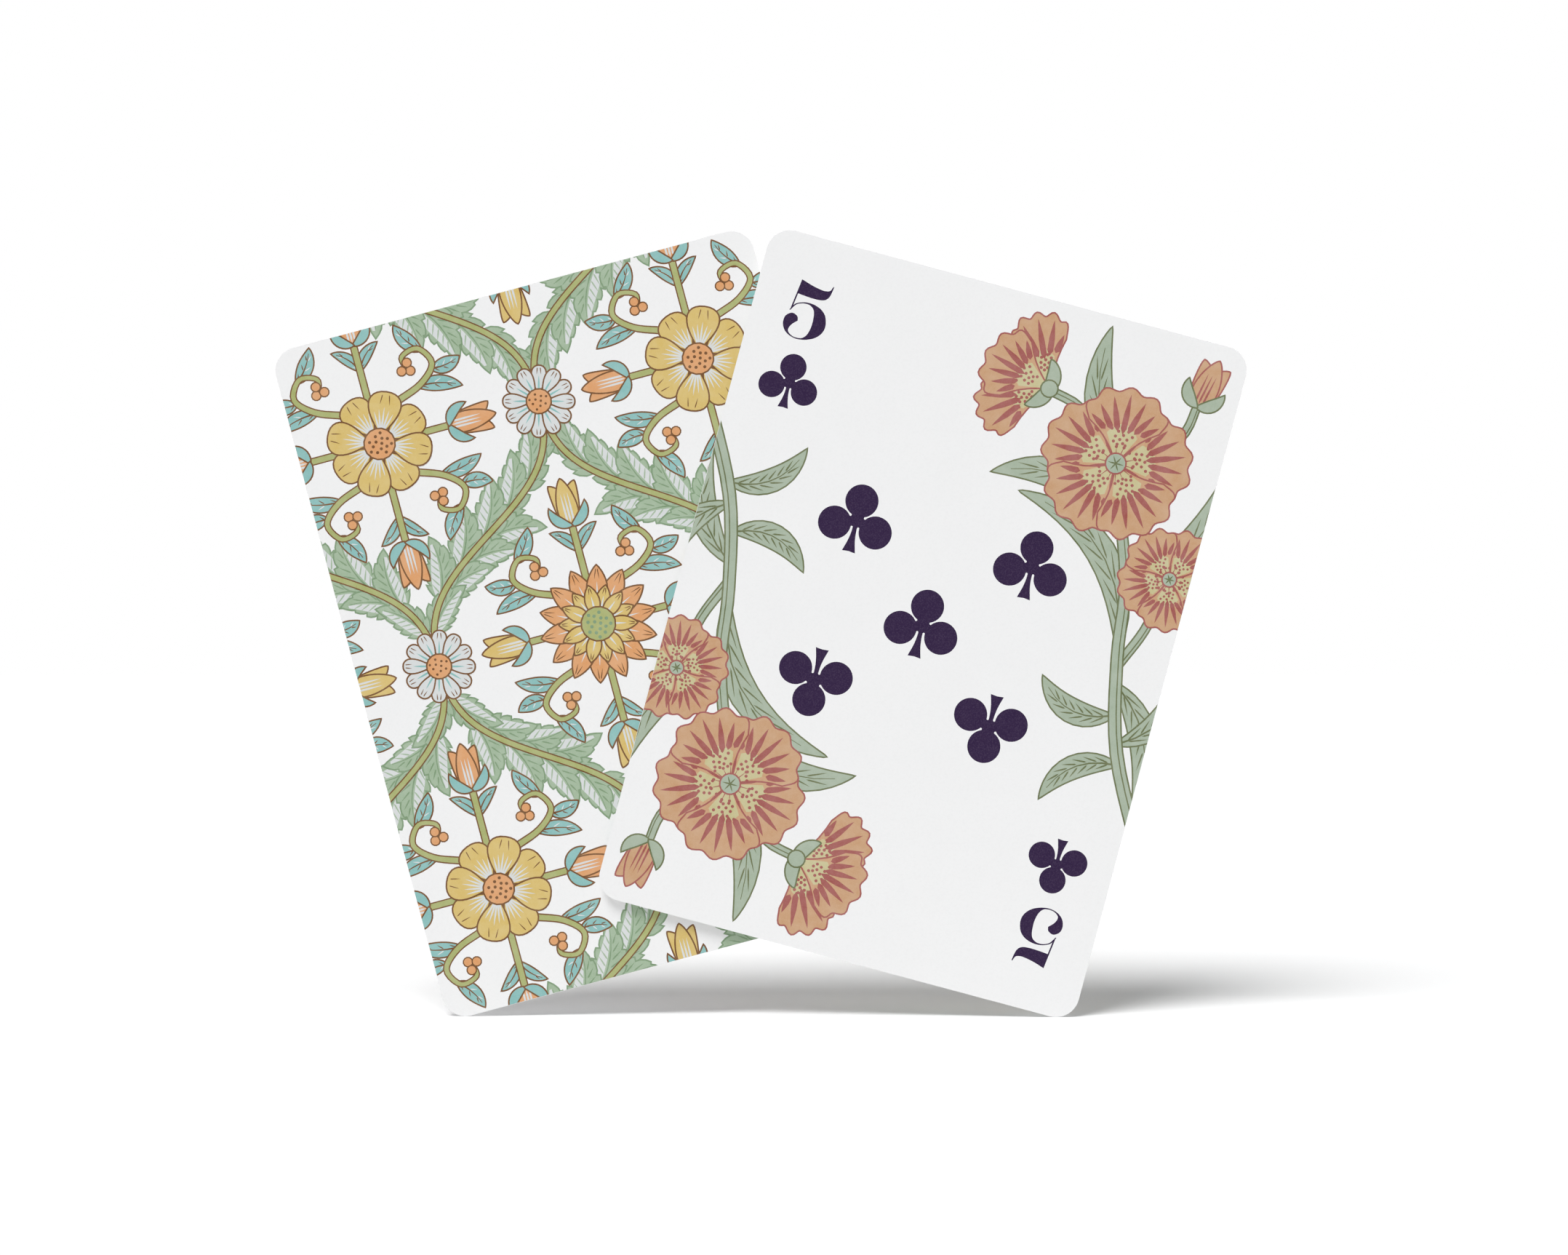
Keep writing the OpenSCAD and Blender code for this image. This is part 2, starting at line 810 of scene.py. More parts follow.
@dataclass(frozen=True)
class Bud:
    """A closed flower: two outer petals, one before them, and two sepals."""

    length: float
    width: float
    body: Ink
    light: Ink
    sepal: Ink
    line: Ink = Ink.UMBER
    sepal_line: Ink = Ink.UMBER
    # Light strokes on the front petal, as places across it and shares of its length
    strokes: tuple[float, ...] = (-0.5, 0.0, 0.5)
    stroke_span: Span = (0.06, 0.7)
    stroke_w: float = 0.28

    def draw(self, art: Artwork, foot: complex, heading_deg: float) -> None:
        """Paint the bud.

        Args:
            art: The design that it goes into.
            foot: Where it joins its stalk.
            heading_deg: Where it points.
        """
        length, width = self.length, self.width
        outer = BladePair(0.94 * length, 0.62 * width, turn_deg=17, bend=-0.068, profile=Profile.CUP)
        sepals = BladePair(0.58 * length, 0.3 * width, turn_deg=42, bend=0.168, profile=Profile.LANCE)
        front = Blade(foot, foot + polar(length, heading_deg), 0.66 * width, Profile.CUP)
        low, high = self.stroke_span
        outer.draw(art, self.line, self.body, foot, heading_deg)
        art.outlined(self.line, self.body, front.outline())
        for side in self.strokes:
            art.stroke(self.light, front.at(low, side), front.at(high, side), self.stroke_w)
        sepals.draw(art, self.sepal_line, self.sepal, foot, heading_deg)


@dataclass(frozen=True)
class TrellisBack:
    """The card backs: leafy vines that cross in an ogee trellis, with a flower in each opening."""

    size: CardFormat
    vine_w: float = 0.6
    # How much the vines swing out past plain waves
    swell: float = 0.06
    leaf_l: float = 8.6
    leaf_w: float = 4.4
    leaf_turn_deg: float = 34.0
    leaf_bend: float = 0.1
    leaf_spacing: float = 4.4
    # Lengths of vine with no leaves at either end, and how clear leaves keep of the next vines
    bare_start: float = 4.2
    bare_end: float = 5.0
    clear: float = 0.35
    # Size of the leaves at the ends of a vine, as a share of the largest
    least_leaf: float = 0.72
    scroll_w: Span = (0.7, 0.4)
    scroll_leaf_w: float = 1.8
    berry_r: float = 0.52
    # Distances from the middle of an opening: its buds and the start of their stalks
    bud_above: float = 13.0
    bud_beside: float = 9.2
    stalk_start: float = 5.0
    stalk_w: float = 0.7
    # How far a stalk goes into its bud
    stalk_overlap: float = 0.3
    # Two small leaves on an upright stalk: where they start and end below the bud, and their reach
    bract_span: Span = (3.4, 0.4)
    bract_reach: float = 2.9
    bract_w: float = 1.3

    @property
    def half_w(self) -> float:
        """Half the width of an opening of the trellis."""
        return self.size.width / 3

    @property
    def half_h(self) -> float:
        """Half the height of an opening."""
        return self.size.height / 3

    def vine(self) -> Outline:
        """A quarter of an opening's rim.

        Returns:
            Points from its right end to its top, for an opening whose middle is the origin.
        """
        line = []
        for s in steps(0, 1, 41):
            eased = s - self.swell * math.sin(2 * math.pi * s)
            line.append(complex(self.half_w / 2 * (1 + math.cos(math.pi * eased)), self.half_h * s))
        return line

    def foliage(self) -> Artwork:
        """The leaves along a quarter rim, each over the foot of the next.

        Returns:
            The design, for an opening whose middle is the origin.
        """
        art = Artwork()
        stops = list(walk(self.vine(), self.bare_start, self.leaf_spacing, self.bare_end))
        for here, along in reversed(stops):
            middling = math.sin(math.pi * here.imag / self.half_h)
            full = self.least_leaf + (1 - self.least_leaf) * middling
            for side in (1, -1):
                tip = here + along * polar(full * self.leaf_l, side * self.leaf_turn_deg)
                if self.clear < tip.real < self.half_w - self.clear:
                    bend = -self.leaf_bend * side
                    blade = Blade(here, tip, full * self.leaf_w, Profile.OVATE, bend)
                    inks = Ink.MOSS, Ink.SAGE, Ink.PALE_GREY
                    Leaf(blade, *inks, veins=6, teeth=5, pale_side=side).draw(art)
        return art

    def twig(self, art: Artwork, line: Outline, start_w: float, end_w: float) -> None:
        """Paint a green band with a brown line round it along a line."""
        art.outlined(Ink.UMBER, Ink.OLIVE, ribbon(line, start_w, end_w), FINE_LINE_W)

    def tendril(self) -> Artwork:
        """The vine of a quarter rim.

        Returns:
            The design, for an opening whose middle is the origin.
        """
        art = Artwork()
        self.twig(art, self.vine(), self.vine_w, self.vine_w)
        return art

    def sprig(self) -> Artwork:
        """A scroll in a quarter of an opening, with its leaves and berries.

        Returns:
            The design, for an opening whose middle is the origin.
        """
        art = Artwork()
        for foot, tip, bend in (
            (6.6 + 5.8j, 12 + 4.6j, 0.07),
            (8.9 + 7.6j, 12.6 + 8.2j, -0.08),
            (8.2 + 10.2j, 5.6 + 14j, 0.08),
        ):
            blade = Blade(foot, tip, self.scroll_leaf_w, Profile.LANCE, bend)
            Leaf(blade, Ink.UMBER, Ink.TEAL, Ink.PALE_GREY, veins=3, vein_w=0.16).draw(art)
        scroll = curve([3.4 + 4.6j, 7 + 6j, 9.1 + 8.2j, 7.8 + 10.5j, 5.6 + 10j, 5.7 + 8.4j])
        self.twig(art, scroll, *self.scroll_w)
        for berry in (6.2 + 8j, 5.1 + 8.2j, 6 + 9.1j):
            art.outlined(Ink.UMBER, Ink.APRICOT, circle(berry, self.berry_r, count=12), FINE_LINE_W)
        return art

    def flower(self, art: Artwork, middle: complex, bloom: Bloom, bud: Bud) -> None:
        """Paint an opening's flower, with a bud on a stalk above, below and on each side of it.

        Args:
            art: The design that it goes into.
            middle: The middle of the opening.
            bloom: The flower.
            bud: Its buds.
        """
        low, high = self.bract_span
        for heading_deg in (0, 90, 180, 270):
            upright = heading_deg in (90, 270)
            foot = self.bud_above if upright else self.bud_beside
            way = polar(1, heading_deg)
            for side in (1, -1) if upright else ():
                tip = middle + (foot - high + side * self.bract_reach * 1j) * way
                bend = -self.leaf_bend * side
                blade = Blade(middle + (foot - low) * way, tip, self.bract_w, Profile.LANCE, bend)
                Leaf(blade, Ink.UMBER, Ink.TEAL, Ink.PALE_GREY, veins=2, vein_w=0.14).draw(art)
            stalk = [middle + d * way for d in (self.stalk_start, foot + self.stalk_overlap)]
            self.twig(art, stalk, self.stalk_w, self.stalk_w)
            bud.draw(art, middle + foot * way, heading_deg)
        bloom.draw(art, middle)

    def artwork(self) -> Artwork:
        """Paint the whole back.

        Returns:
            The design, which runs past the card's edge.
        """
        dahlia = Bloom(
            (
                PetalRing(14, 1.6, 7.4, 2.5, Ink.APRICOT, Ink.PALE_GREY, Profile.LANCE),
                PetalRing(14, 1.2, 4.9, 1.7, Ink.MUSTARD, Ink.PALE_GREY, Profile.LANCE, 12.9, (0.0,)),
            ),
            heart_r=2.1, heart=Ink.OLIVE, seeds=Ink.MOSS, seed_count=16,
        )
        fine = (-0.7, -0.35, 0.0, 0.35, 0.7)
        cosmos = Bloom(
            (PetalRing(8, 1.2, 6.6, 4.0, Ink.MUSTARD, Ink.PALE_GREY, Profile.SPOON, 22.5, fine),),
            heart_r=1.9, heart=Ink.APRICOT, seeds=Ink.UMBER, seed_count=14,
        )
        daisy = Bloom(
            (PetalRing(12, 1.0, 4.5, 1.7, Ink.PALE_GREY, Ink.TEAL, Profile.SPOON, 15, (0.0,)),),
            heart_r=1.5, heart=Ink.APRICOT, seeds=Ink.UMBER, seed_count=10,
        )
        warm, golden = (
            Bud(6.0, 3.7, body, Ink.PALE_GREY, Ink.TEAL) for body in (Ink.APRICOT, Ink.MUSTARD)
        )

        across, up = 2 * self.half_w, 2j * self.half_h
        rows = [0j, across + 0j, -across + 0j, up, -up]
        between = [(x * across + y * up) / 2 for x in (-1, 1) for y in (-1, 1)]
        crossings = [across / 2 + 0j, -across / 2 + 0j, up / 2, -up / 2]
        art = Artwork()
        for layer, middles in (
            (self.foliage(), rows),
            (self.tendril(), rows),
            (self.sprig(), rows + between),
        ):
            for placing in (p for middle in middles for p in quarters(middle)):
                art.stamp(layer, placing)
        for middle in rows:
            self.flower(art, middle, dahlia, golden)
        for middle in between:
            self.flower(art, middle, cosmos, warm)
        for crossing in crossings:
            daisy.draw(art, crossing)
        return art


@dataclass(frozen=True)
class Petal:
    """A broad fan-shaped petal with a scalloped rim.

    A reach is a share of the petal's length, and a side is a share of its half angle.
    """

    base: complex
    length: float
    heading_deg: float
    half_angle_deg: float = 50.0
    scallops: int = 5
    scallop_depth: float = 0.035
    # How much less the rim reaches at the sides
    rim_loss: float = 0.26
    throat_reach: float = 0.56
    throat_loss: float = 0.15
    throat_side: float = 0.8
    veins: int = 7
    vein_w: float = 0.088
    vein_side: float = 0.88
    # Where a vein starts, how much later it does at the sides, and how short of the rim it ends
    vein_start: float = 0.4
    vein_delay: float = 0.1
    vein_closing: float = 0.9
    vein_stop: float = 0.08
    specks: int = 13
    speck_reach: float = 0.24
    speck_step: float = 0.022
    speck_side: float = 1.25
    # A speck's radius: a share of the petal's length, and the least in millimetres
    speck_r: float = 0.018
    least_speck_r: float = 0.04

    def rim(self, side: float) -> float:
        """The reach of the rim at a side."""
        wave = self.scallop_depth * math.cos(math.pi * self.scallops * side)
        return 1 - self.rim_loss * abs(side) ** 3 + wave

    def at(self, reach: float, side: float) -> complex:
        """The point at a reach and a side."""
        swing = self.half_angle_deg * side * (0.5 + 0.5 * reach)
        return self.base + polar(self.length * reach, self.heading_deg + swing)

    def outline(self) -> Outline:
        """The petal's outline.

        Returns:
            Points from its base round the rim.
        """
        edge = steps(0.02, self.rim(1), 6)[:-1]
        rim = [self.at(self.rim(s), s) for s in steps(-1, 1, 41)]
        return [self.at(r, -1) for r in edge] + rim + [self.at(r, 1) for r in reversed(edge)]

    def draw(self, art: Artwork) -> None:
        """Paint the petal: its ground, throat, veins and specks.

        Args:
            art: The design that it goes into.
        """
        golden, phase = 0.618, 0.11
        art.outlined(Ink.BRICK, Ink.TERRACOTTA, self.outline())
        throat = [self.base]
        for side in steps(-self.throat_side, self.throat_side, 9):
            throat.append(self.at(self.throat_reach - self.throat_loss * abs(side), side))
        art.fill(Ink.STRAW, throat)
        for side in steps(-self.vein_side, self.vein_side, self.veins):
            start = self.at(self.vein_start + self.vein_delay * abs(side), self.vein_closing * side)
            end = self.at(self.rim(side) - self.vein_stop, side)
            art.stroke(Ink.BRICK, start, end, self.vein_w * self.length)
        for k in range(self.specks):
            side = self.speck_side * ((golden * k + phase) % 1 - 0.5)
            spot = self.at(self.speck_reach + self.speck_step * k, side)
            art.dot(Ink.BRICK, spot, self.speck_r * self.length + self.least_speck_r)


@dataclass(frozen=True)
class HalfPoppy:
    """A half-open poppy seen from the side: two petals behind, one before them, and its sepals."""

    foot: complex
    length: float
    heading_deg: float
    # The knob where it joins its stalk, as a share of the length
    knob_r: float = 0.1

    def draw(self, art: Artwork) -> None:
        """Paint the flower.

        Args:
            art: The design that it goes into.
        """
        length = self.length
        for turn, share, half_angle, veins in ((-50, 0.94, 32, 5), (50, 0.94, 32, 5), (0, 0.9, 44, 7)):
            heading_deg = self.heading_deg + turn
            Petal(self.foot, share * length, heading_deg, half_angle, veins=veins).draw(art)
        sepals = BladePair(0.36 * length, 0.16 * length, turn_deg=64, bend=0.128, profile=Profile.CUP)
        sepals.draw(art, Ink.DARK_OLIVE, Ink.LEAF_GREEN, self.foot, self.heading_deg)
        art.outlined(Ink.DARK_OLIVE, Ink.LEAF_GREEN, circle(self.foot, self.knob_r * length))


@dataclass(frozen=True)
class Poppy:
    """An open field flower of five broad petals, with dark veins and a pale speckled throat."""

    centre: complex
    radius: float
    turn_deg: float
    # Places round the flower, the lowest petal first
    order: tuple[int, ...] = (0, 2, 1, 3, 4)
    # Shares of the flower's radius: the dark ground, the stamens, the pod and the rays on it
    ground_r: float = 0.46
    stamen_r: float = 0.23
    pod_r: float = 0.13
    ray_r: float = 0.11
    stamens: int = 14
    # How much further every other stamen goes
    stamen_step: float = 0.04
    stamen_w: float = 0.16
    anther_r: float = 0.2
    rays: int = 6
    ray_w: float = 0.2

    def draw(self, art: Artwork) -> None:
        """Paint the flower.

        Args:
            art: The design that it goes into.
        """
        centre, radius = self.centre, self.radius
        art.fill(Ink.BRICK, circle(centre, self.ground_r * radius, count=24))
        for k in self.order:
            Petal(centre, radius, self.turn_deg + 360 * k / len(self.order)).draw(art)
        for k in range(self.stamens):
            reach = radius * (self.stamen_r + self.stamen_step * (k % 2))
            anther = centre + polar(reach, 360 * k / self.stamens)
            art.stroke(Ink.BRICK, centre, anther, self.stamen_w)
            art.dot(Ink.BRICK, anther, self.anther_r)
        art.outlined(Ink.BRICK, Ink.LEAF_GREEN, circle(centre, self.pod_r * radius))
        for k in range(self.rays):
            end = centre + polar(self.ray_r * radius, 360 * k / self.rays)
            art.stroke(Ink.DARK_OLIVE, centre, end, self.ray_w)


@dataclass(frozen=True)
class SprayFace:
    """The flower sprays of a pip side: one runs up the right edge, its turned copy down the left."""

    # The dark line along a stem: how far it lies to the right, and its widths
    shade_shift: float = 0.2
    shade_w: Span = (0.18, 0.12)

    def leaf(self, art: Artwork, foot: complex, tip: complex, width: float, bend: float) -> None:
        """Paint one leaf of the spray."""
        blade = Blade(foot, tip, width, Profile.LANCE, bend)
        Leaf(blade, Ink.DARK_OLIVE, Ink.LEAF_GREEN, Ink.DARK_OLIVE, veins=6, vein_w=0.22).draw(art)

    def stem(self, art: Artwork, points: Outline, start_w: float, end_w: float) -> None:
        """Paint one stem of the spray, with a dark line along it.

        Args:
            art: The design that it goes into.
            points: The points that the stem passes.
            start_w: Its width at the first point.
            end_w: Its width at the last point.
        """
        line = curve(points)
        art.outlined(Ink.DARK_OLIVE, Ink.LEAF_GREEN, ribbon(line, start_w, end_w))
        art.fill(Ink.DARK_OLIVE, ribbon([p + self.shade_shift for p in line], *self.shade_w))

    def spray(self) -> Artwork:
        """Paint one spray.

        Returns:
            The design on the right of the card.
        """
        art = Artwork()
        for foot, tip, width, bend in (
            (24.8 + 3j, 7.5 + 19.5j, 3.6, -0.2),
            (25.6 - 1j, 31.8 - 16j, 3.4, 0.16),
            (26.4 - 5j, 16.5 - 2.5j, 3.0, 0.2),
            (23.6 + 11j, 33 + 31j, 3.8, -0.14),
            (20.6 + 19j, 3.5 + 21j, 3.8, -0.16),
            (28.6 - 11j, 20 - 17.5j, 2.8, -0.18),
            (21 + 24j, 13.5 + 42.5j, 3.6, 0.14),
            (27.6 - 8.5j, 33 + 4j, 3.0, -0.2),
        ):
            self.leaf(art, foot, tip, width, bend)
        for points, start_w, end_w in (
            ([25.4 + 1.6j, 27.4 + 6.4j, 28.6 + 12j], 1.0, 0.9),
            ([20.6 + 20j, 13.6 + 30.6j, 7.6 + 33j], 1.0, 0.9),
            ([19.6 + 24j, 25.4 + 31j, 26.6 + 36j], 1.0, 0.8),
            ([34 - 21j, 28 - 9.5j, 25 + 2j, 23.4 + 12j, 19 + 24j], 1.5, 1.1),
        ):
            self.stem(art, points, start_w, end_w)
        bud = Bud(6.4, 4.6, Ink.TERRACOTTA, Ink.BRICK, Ink.LEAF_GREEN, Ink.BRICK, Ink.DARK_OLIVE)
        bud.draw(art, foot=26.5 + 35.6j, heading_deg=78)
        HalfPoppy(foot=7.8 + 33j, length=10.0, heading_deg=164).draw(art)
        Poppy(centre=28.8 + 13.5j, radius=6.4, turn_deg=64).draw(art)
        Poppy(centre=18.4 + 26j, radius=9.4, turn_deg=20).draw(art)
        return art

    def artwork(self) -> Artwork:
        """Paint both sprays.

        Returns:
            The spray and its turned copy.
        """
        art, spray = Artwork(), self.spray()
        for turn in (1, -1):
            art.stamp(spray, Placing(turn=turn))
        return art


def club() -> list[Outline]:
    """A club pip: three round lobes, slits between them, and a flared foot.

    Returns:
        Its outline.
    """
    lobe_r, side, top = 2.11, -2.67 + 0j, 3.49j
    stem = curve([-0.85 - 3.18j, -0.5 - 1.9j, -0.33 - 0.9j, -0.28 - 0.02j], fineness=4)
    half = [
        -3.09j,
        *stem,
        *arc(-0.43 - 0.02j, 0.15, 0, 180, 6),
        *arc(side, lobe_r, 0, -320, 34),
        *arc(-0.97 + 1.46j, 0.17, 234, 414, 6),
        *arc(top, lobe_r, 245, 90, 18),
    ]
    return [half + [mirrored(p) for p in reversed(half)]]


def diamond() -> list[Outline]:
    """A diamond pip with slightly hollow sides.

    Returns:
        Its outline.
    """
    side = curve([4.5j, 1.45 + 2.1j, 3.3 + 0j])
    half = side + [p.conjugate() for p in reversed(side[:-1])]
    return [half + [mirrored(p) for p in reversed(half[1:-1])]]


def numeral_five() -> list[Outline]:
    """A five in a fat-faced style, with a waving flag, a hairline stem and a ball at its tail.

    Returns:
        The outlines of its flag, stem and bowl.
    """
    flag = curve([
        -1.74 + 3.84j, -0.36 + 3.42j, 0.84 + 3.18j, 1.5 + 3.15j, 2.04 + 3.34j, 2.3 + 3.92j,
    ])
    under = curve([
        2.42 + 3.92j, 2.33 + 3.3j, 2.13 + 2.5j, 1.68 + 2.02j, 0.84 + 1.84j, -0.56 + 1.87j, -1.95 + 2j,
    ])
    stem = [-1.78 + 3.85j, -1.6 + 3.8j, -2.08 + 0j, -2.27 + 0j]
    bowl = curve([
        -2.38 - 0.28j, -2.01 + 0.42j, -1.56 + 0.81j, -0.76 + 1.1j, 0.04 + 1.16j, 0.84 + 1.03j,
        1.64 + 0.67j, 2.28 + 0j, 2.61 - 1.2j, 2.36 - 2.2j, 1.62 - 3j, 0.52 - 3.5j, -0.56 - 3.65j,
        -1.56 - 3.44j, -2.36 - 2.87j, -2.75 - 2j, -2.62 - 1.1j, -1.9 - 0.58j, -1.18 - 0.84j,
        -0.98 - 1.36j,
    ])
    inside = curve([
        -0.98 - 1.36j, -1.6 - 2j, -1.89 - 2.65j, -1.74 - 3.08j, -1.16 - 3.43j, -0.5 - 3.5j,
        0.1 - 3.37j, 0.55 - 2.9j, 0.82 - 2.1j, 0.9 - 1.2j, 0.81 - 0.1j, 0.55 + 0.54j, 0.02 + 0.9j,
        -0.6 + 0.96j, -1.16 + 0.84j, -1.72 + 0.52j, -2.24 - 0.28j,
    ])
    return [flag + under, stem, bowl + inside[1:]]


def numeral_three() -> list[Outline]:
    """A three in the same style, with a ball at each end.

    Returns:
        The outlines of its upper and lower bowls and of the balls.
    """
    upper = curve([
        -1.9 + 2.7j, -1.2 + 3.5j, 0.1 + 3.72j, 1.5 + 3.2j, 2 + 2j, 1.4 + 0.85j, -0.5 + 0.3j,
    ])
    upper_in = curve([
        -0.5 + 0.18j, 0.5 + 0.75j, 0.8 + 2j, 0.5 + 3.1j, -0.2 + 3.5j, -1.1 + 3.3j, -1.7 + 2.6j,
    ])
    lower = curve([
        -0.5 + 0.3j, 1.3 + 0.25j, 2.4 - 0.6j, 2.6 - 1.9j, 1.8 - 3.2j, 0.2 - 3.72j, -1.5 - 3.4j,
        -2.5 - 2.4j,
    ])
    lower_in = curve([
        -2.3 - 2.3j, -1.3 - 3.2j, -0.2 - 3.5j, 0.8 - 2.9j, 1.15 - 1.7j, 0.9 - 0.5j, -0.5 + 0.18j,
    ])
    balls = [circle(-1.62 + 2.3j, 0.62, count=20), circle(-1.95 - 2.25j, 0.74, count=20)]
    return [upper + upper_in, lower + lower_in, *balls]


class Suit(Enum):
    """A suit: its ink, what draws its pip, and the pip's middle above the drawing's origin."""

    CLUBS = (Ink.AUBERGINE, club, 1.2j)
    DIAMONDS = (Ink.BRICK, diamond, 0j)


class Rank(Enum):
    """A number card: what draws its numeral, and the places of its pips as shares of their spread."""

    FIVE = (numeral_five, (-1 + 1j, 1 + 1j, 0j, -1 - 1j, 1 - 1j))
    THREE = (numeral_three, (2j, 0j, -2j))


@dataclass(frozen=True)
class PipFace:
    """The pips and corner indices of a number card."""

    suit: Suit
    rank: Rank
    spread_x: float = 11.51
    spread_y: float = 10.76
    index: complex = -24.33 + 25.4j
    numeral: complex = -24.35 + 34.45j
    index_scale: float = 0.796

    def artwork(self) -> Artwork:
        """Paint the pips and the two corner indices.

        Returns:
            The design.
        """
        ink, pip, middle = self.suit.value
        numeral, places = self.rank.value
        art = Artwork()
        for place in places:
            spot = complex(place.real * self.spread_x, place.imag * self.spread_y)
            way = -1 if place.imag < 0 else 1
            for outline in pip():
                art.fill(ink, [spot + way * (p - middle) for p in outline])
        for way in (1, -1):
            for outline in pip():
                art.fill(ink, [way * (self.index + self.index_scale * (p - middle)) for p in outline])
            for outline in numeral():
                art.fill(ink, [way * (self.numeral + p) for p in outline])
        return art


@dataclass
class FilmStack:
    """How many films of ink lie on each small square of a printed side."""

    size: CardFormat
    cell: float = 0.1
    columns: np.ndarray = field(init=False)
    rows: np.ndarray = field(init=False)
    films: np.ndarray = field(init=False)

    def __post_init__(self) -> None:
        """Start with bare paper."""
        self.columns = np.arange(-self.size.width / 2, self.size.width / 2, self.cell)
        self.rows = np.arange(-self.size.height / 2, self.size.height / 2, self.cell)
        self.films = np.zeros((len(self.rows), len(self.columns)), int)

    def lay(self, outline: Outline) -> int:
        """Lay a film over all the squares that an outline touches.

        Args:
            outline: The film's outline.

        Returns:
            How many films lie under it at most.
        """
        edge = grown(outline, self.cell)
        across, up = [p.real for p in edge], [p.imag for p in edge]
        left, right = np.searchsorted(self.columns, (min(across), max(across)))
        low, high = np.searchsorted(self.rows, (min(up), max(up)))
        x, y = self.columns[left:right], self.rows[low:high, None]
        inside = np.zeros((high - low, right - left), bool)
        for a, b in zip(edge, edge[1:] + edge[:1]):
            if a.imag != b.imag:
                between = (a.imag > y) != (b.imag > y)
                inside ^= between & (x < a.real + (y - a.imag) * (b - a).real / (b - a).imag)
        films = self.films[low:high, left:right]
        under = films[inside].max(initial=0)
        films[inside] = under + 1
        return int(under)


class Facing(Enum):
    """Which way a printed side looks along the row's Y axis."""

    NEAR = -1
    FAR = 1


@dataclass
class PrintedSide:
    """One side of a card: a paper ply and the films of ink on it."""

    name: str
    body: str
    paper: str
    facing: Facing
    lean_deg: float
    size: CardFormat
    art: Artwork
    # Films smaller than this, in square millimetres, are left out
    least_area: float = 0.003
    middle: Vector = field(init=False)
    right: Vector = field(init=False)
    up: Vector = field(init=False)
    out: Vector = field(init=False)

    def __post_init__(self) -> None:
        """Find where the side lies from its paper ply."""
        low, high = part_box(self.paper)
        lean, sign = math.radians(self.lean_deg), self.facing.value
        self.middle = (low + high) / 2
        self.middle.y = low.y if self.facing is Facing.NEAR else high.y
        self.right = Vector((-sign * math.cos(lean), 0, sign * math.sin(lean)))
        self.up = Vector((math.sin(lean), 0, math.cos(lean)))
        self.out = Vector((0, sign, 0))

    def place(self, point: complex, height: float) -> Vector:
        """Where a point of the design lies, at a height above the paper."""
        return self.middle + MM * (point.real * self.right + point.imag * self.up + height * self.out)

    def trimmed(self) -> list[Patch]:
        """The design as the die cuts it.

        Returns:
            The patches that are left, in the order they are painted.
        """
        window = self.size.outline(BARE_RIM)
        kept = []
        for patch in self.art.patches:
            outline = tidied(clipped(tidied(patch.outline), window))
            if len(outline) > 2 and signed_area(outline) > self.least_area:
                kept.append(Patch(patch.ink, outline))
        return kept

    def build(self) -> list[bpy.types.Object]:
        """Print the design.

        Returns:
            One piece for each ink.
        """
        patches, stack, pieces = self.trimmed(), FilmStack(self.size), []
        heights = [FILM_T * (1 + stack.lay(patch.outline)) for patch in patches]
        for ink in Ink:
            films = [(p.outline, top) for p, top in zip(patches, heights) if p.ink is ink]
            if films:
                pieces.append(self.print_ink(ink, films))
        return pieces

    def print_ink(self, ink: Ink, films: list[tuple[Outline, float]]) -> bpy.types.Object:
        """Lay down all the patches of one ink as closed films.

        Args:
            ink: The ink.
            films: Each patch's outline and the height of its top above the paper.

        Returns:
            The piece.
        """
        points: list[complex] = []
        corners: list[Vector] = []
        faces: list[tuple[int, ...]] = []
        for outline, top in films:
            first, count = len(points), len(outline)
            foot = grown(outline, FILM_FLARE)
            points += [*outline, *foot]
            corners += [self.place(p, top) for p in outline] + [self.place(p, -FILM_SINK) for p in foot]
            faces.append(tuple(range(first, first + count)))
            faces.append(tuple(range(first + 2 * count - 1, first + count - 1, -1)))
            for k in range(count):
                after = (k + 1) % count
                faces.append((first + count + k, first + count + after, first + after, first + k))
        mesh = bpy.data.meshes.new(f"{self.name}_{ink.slot}")
        mesh.from_pydata(corners, [], faces)
        self.add_map(mesh, points)
        mesh.materials.append(offset_ink(ink).material())
        piece = bpy.data.objects.new(mesh.name, mesh)
        bpy.context.scene.collection.objects.link(piece)
        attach(piece, self.body)
        ink.slot
        return piece

    def add_map(self, mesh: bpy.types.Mesh, points: list[complex]) -> None:
        """Map the print flat, as it lies on the card.

        Args:
            mesh: The mesh to map.
            points: Each vertex's place in the design.
        """
        layer = mesh.uv_layers.new(name=BAKE_MAP)
        for corner, loop in zip(layer.data, mesh.loops):
            spot = points[loop.vertex_index]
            corner.uv = (0.5 + spot.real / self.size.width, 0.5 + spot.imag / self.size.height)


